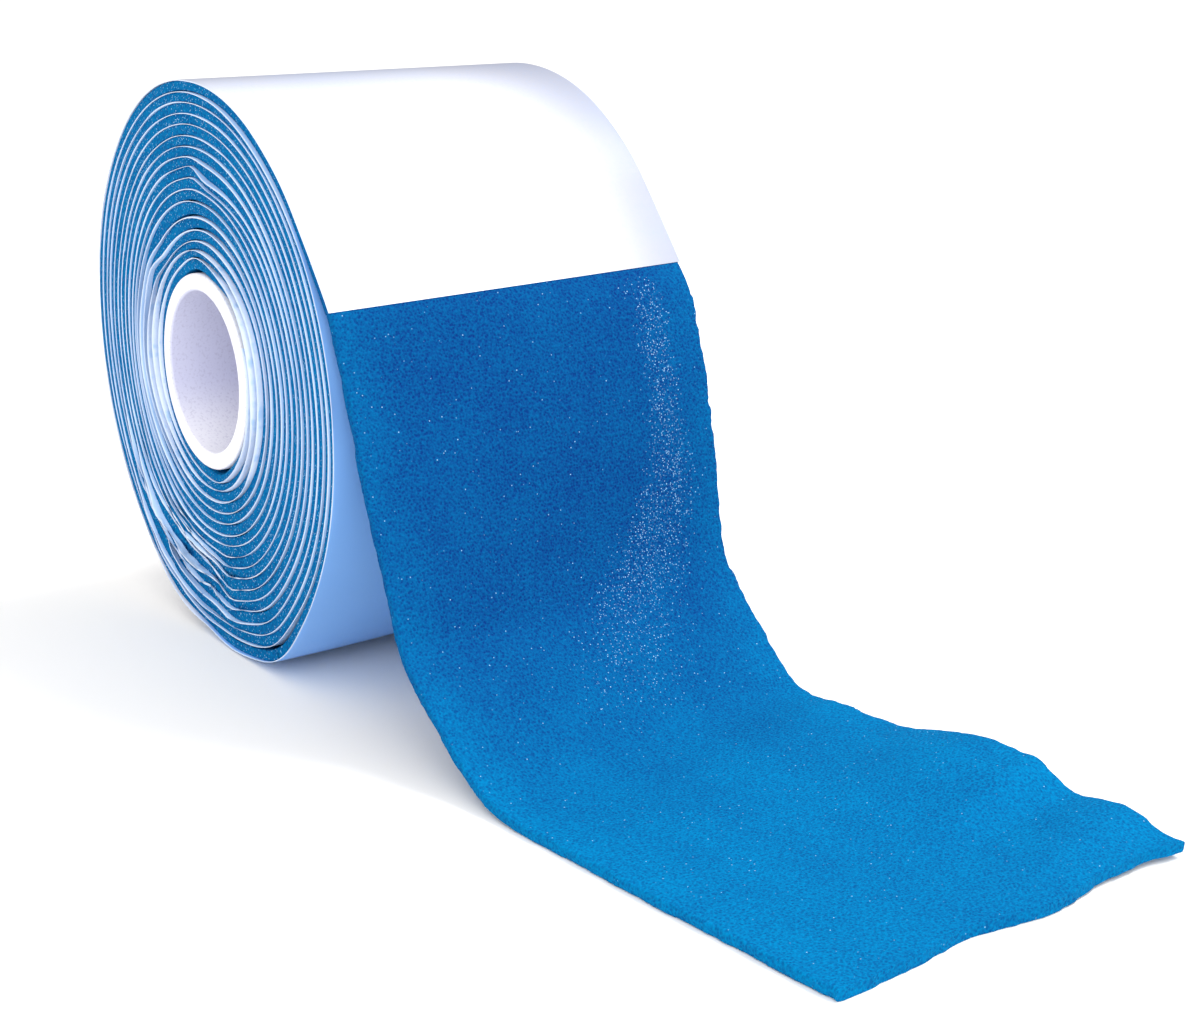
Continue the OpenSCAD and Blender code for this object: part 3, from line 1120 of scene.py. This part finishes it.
def sky(tree):
    """Even white behind the roll, and brighter in front than behind where it lights the roll."""
    tree.nodes.clear()
    way = add(tree, "ShaderNodeTexCoord").outputs["Generated"]
    front = add(tree, "ShaderNodeVectorMath", {0: way, 1: SKY_FRONT}, operation="DOT_PRODUCT")
    lit = add(tree, "ShaderNodeMapRange", {
        "Value": front.outputs["Value"], "From Min": SKY_FROM, "From Max": SKY_TO,
        "To Min": SKY_BACK_STRENGTH, "To Max": SKY_FRONT_STRENGTH})
    seen = add(tree, "ShaderNodeLightPath").outputs["Is Camera Ray"]
    strength = add(tree, "ShaderNodeMix", {0: seen, 2: lit.outputs["Result"], 3: SKY_SEEN_STRENGTH})
    white = (1.0, 1.0, 1.0, 1.0)
    shown = add(tree, "ShaderNodeBackground", {"Color": white, "Strength": strength.outputs[0]})
    output = add(tree, "ShaderNodeOutputWorld")
    tree.links.new(shown.outputs[0], output.inputs[0])


def aimed(thing, place, way):
    """Puts a lamp or the camera in its place, looking along way."""
    thing.location = place
    thing.rotation_mode = "QUATERNION"
    thing.rotation_quaternion = way.to_track_quat("-Z", "Y")
    bpy.context.scene.collection.objects.link(thing)


class HANDWRAP_OT_stage(bpy.types.Operator):
    """Sets the floor, the soft studio light and the camera"""

    bl_idname = "handwrap.stage"
    bl_label = "Stage"

    def execute(self, context):
        scene = context.scene
        stage = scene.wrap_stage
        mesh = bpy.data.meshes.new("floor")
        side, level = FLOOR_HALF_SIDE, FLOOR * MM - FLOOR_DROP
        corners = [(-side, -side, level), (side, -side, level), (side, side, level), (-side, side, level)]
        mesh.from_pydata(corners, [], [(0, 1, 2, 3)])
        mesh.materials.append(floor_material(stage))
        floor = bpy.data.objects.new("floor", mesh)
        scene.collection.objects.link(floor)

        world = bpy.data.worlds.new("Studio")
        world.use_nodes = True
        sky(world.node_tree)
        scene.world = world
        scene.view_settings.view_transform = "Standard"
        scene.view_settings.look = "None"

        for name, (place, size, power) in LAMPS.items():
            light = bpy.data.lights.new(name, "AREA")
            light.shape, light.size, light.energy = "DISK", size, power
            aimed(bpy.data.objects.new(name, light), place, LAMP_TARGET - Vector(place))

        lens = bpy.data.cameras.new("camera")
        lens.lens, lens.sensor_width, lens.clip_start, lens.clip_end = stage.lens, SENSOR_WIDTH, 0.01, 50.0
        scene.camera = bpy.data.objects.new("camera", lens)
        a, e = stage.azimuth, stage.elevation
        back = Vector((math.sin(a) * math.cos(e), -math.cos(a) * math.cos(e), math.sin(e)))
        aimed(scene.camera, stage.camera_place, -back)
        return {"FINISHED"}


class HANDWRAP_PT_panel(bpy.types.Panel):
    """Lists the build steps and the sizes and colours behind them"""

    bl_idname = "HANDWRAP_PT_panel"
    bl_label = "Hand wrap"
    bl_space_type = "VIEW_3D"
    bl_region_type = "UI"
    bl_category = "Hand wrap"

    def draw(self, context):
        layout = self.layout
        for operator in OPERATORS:
            layout.operator(operator.bl_idname)
        for name, group in GROUPS.items():
            box = layout.box()
            for size in group.__annotations__:
                box.prop(getattr(context.scene, name), size)


GROUPS = {
    "wrap_sizes": WrapSizes, "wrap_shape": WrapShape, "wrap_colours": WrapColours, "wrap_stage": WrapStage}
OPERATORS = [HANDWRAP_OT_core, HANDWRAP_OT_wound_foam, HANDWRAP_OT_free_foam, HANDWRAP_OT_liner,
             HANDWRAP_OT_stage]


def register():
    for made in [*GROUPS.values(), *OPERATORS, HANDWRAP_PT_panel]:
        bpy.utils.register_class(made)
    for name, group in GROUPS.items():
        setattr(bpy.types.Scene, name, PointerProperty(type=group))


def unregister():
    for name in GROUPS:
        delattr(bpy.types.Scene, name)
    for made in reversed([*GROUPS.values(), *OPERATORS, HANDWRAP_PT_panel]):
        bpy.utils.unregister_class(made)


def main():
    register()
    bpy.ops.handwrap.stage()
    bpy.ops.handwrap.core()
    bpy.ops.handwrap.wound_foam()
    bpy.ops.handwrap.free_foam()
    bpy.ops.handwrap.liner()
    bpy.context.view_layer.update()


if __name__ == "__main__":
    main()
